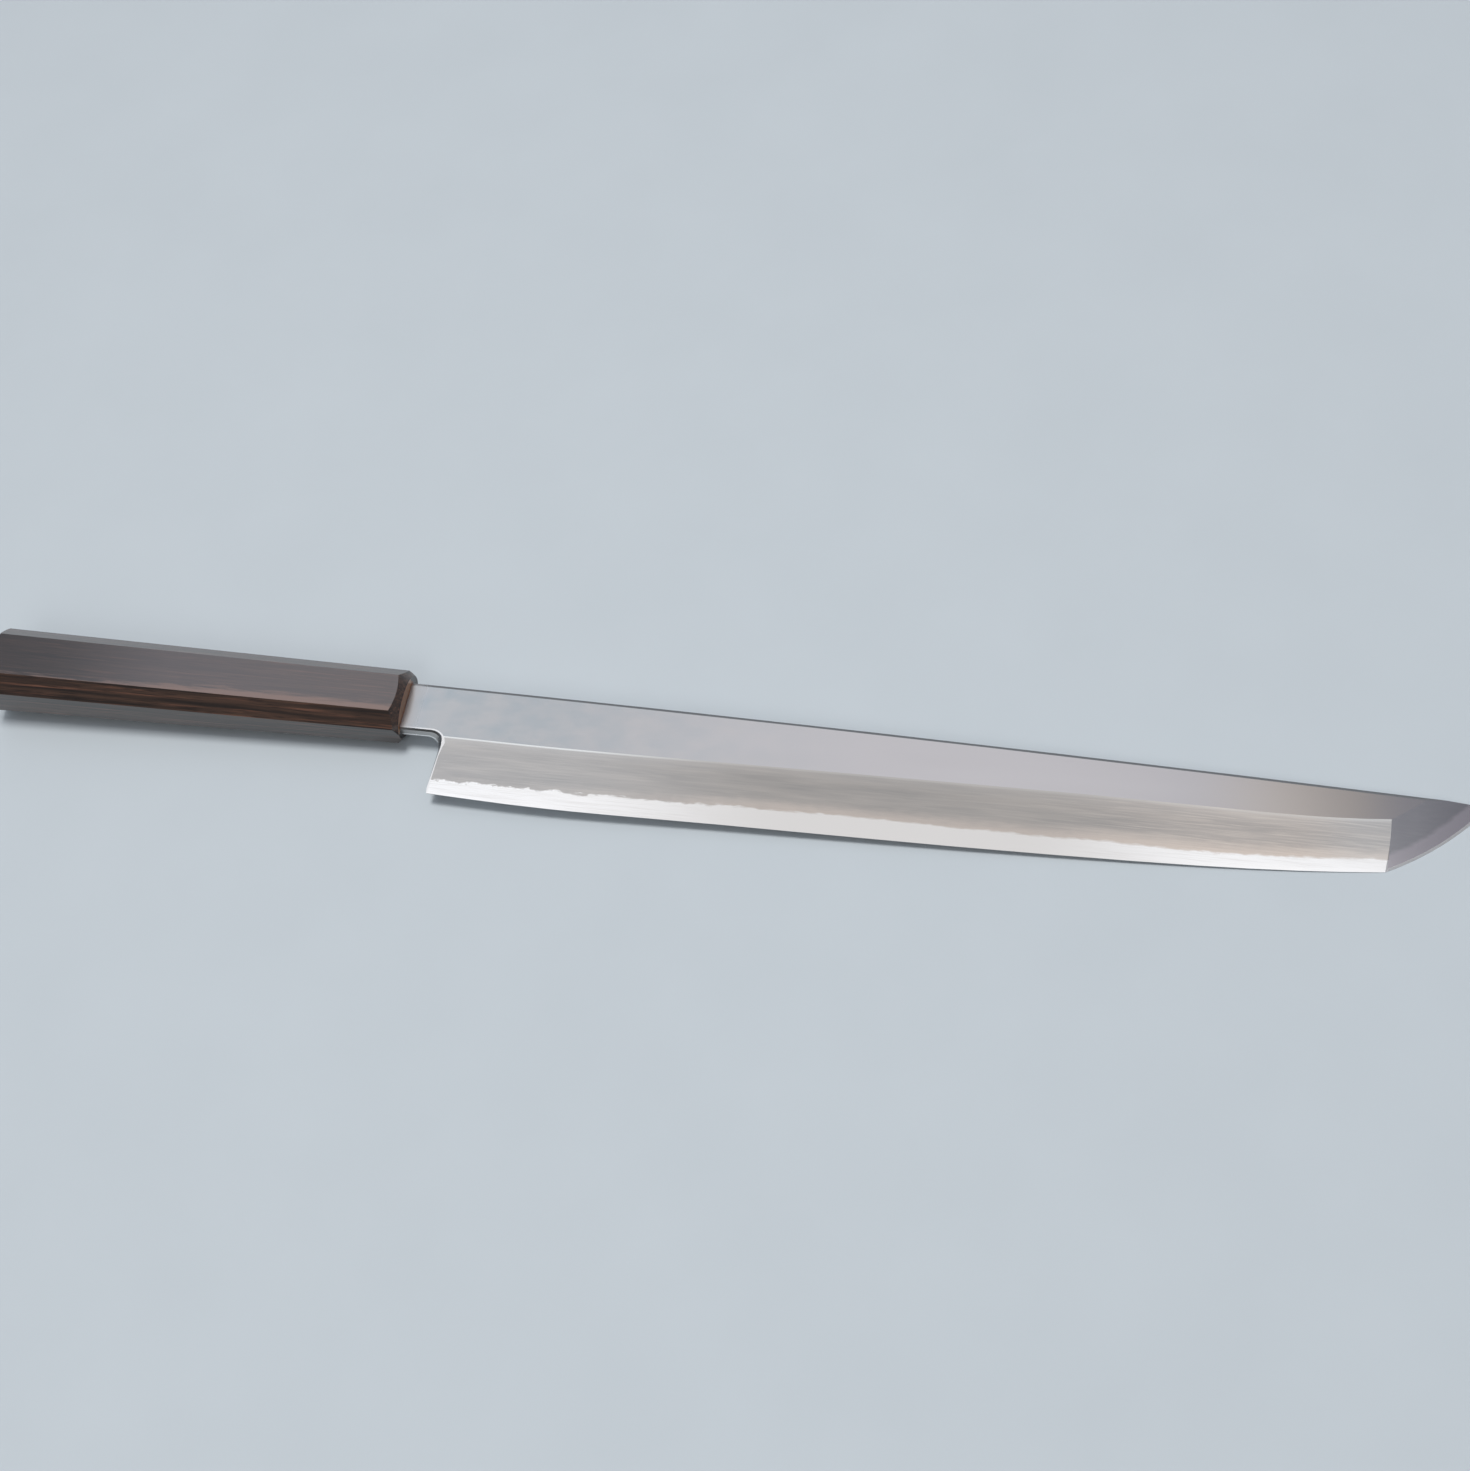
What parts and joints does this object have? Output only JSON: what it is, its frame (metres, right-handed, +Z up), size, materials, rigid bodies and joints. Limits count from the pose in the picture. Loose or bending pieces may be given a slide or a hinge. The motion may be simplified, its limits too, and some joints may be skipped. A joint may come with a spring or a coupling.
{
  "type": "yanagiba knife",
  "caption": "Long single-bevel slicing knife with an angular, sword-like tip and an octagonal wooden handle, lying on its flat side.",
  "frame": {"origin": "middle of the object's box, on the table that the knife lies on", "axes": "+X from the handle's butt to the blade's tip, +Y towards the spine, +Z up out of the bevelled face"},
  "size_m": [0.4796, 0.043, 0.0227],
  "materials": {
    "soft_iron": "satin, stone-polished",
    "hard_steel": "fine satin",
    "resin": "smooth",
    "handle_wood": "satin, fine grained"
  },
  "bodies": {
    "root": {"soft_iron_body": "soft_iron", "hard_steel_back": "hard_steel", "tang_resin_bed": "resin", "wooden_handle": "handle_wood"}
  },
  "joints": []
}
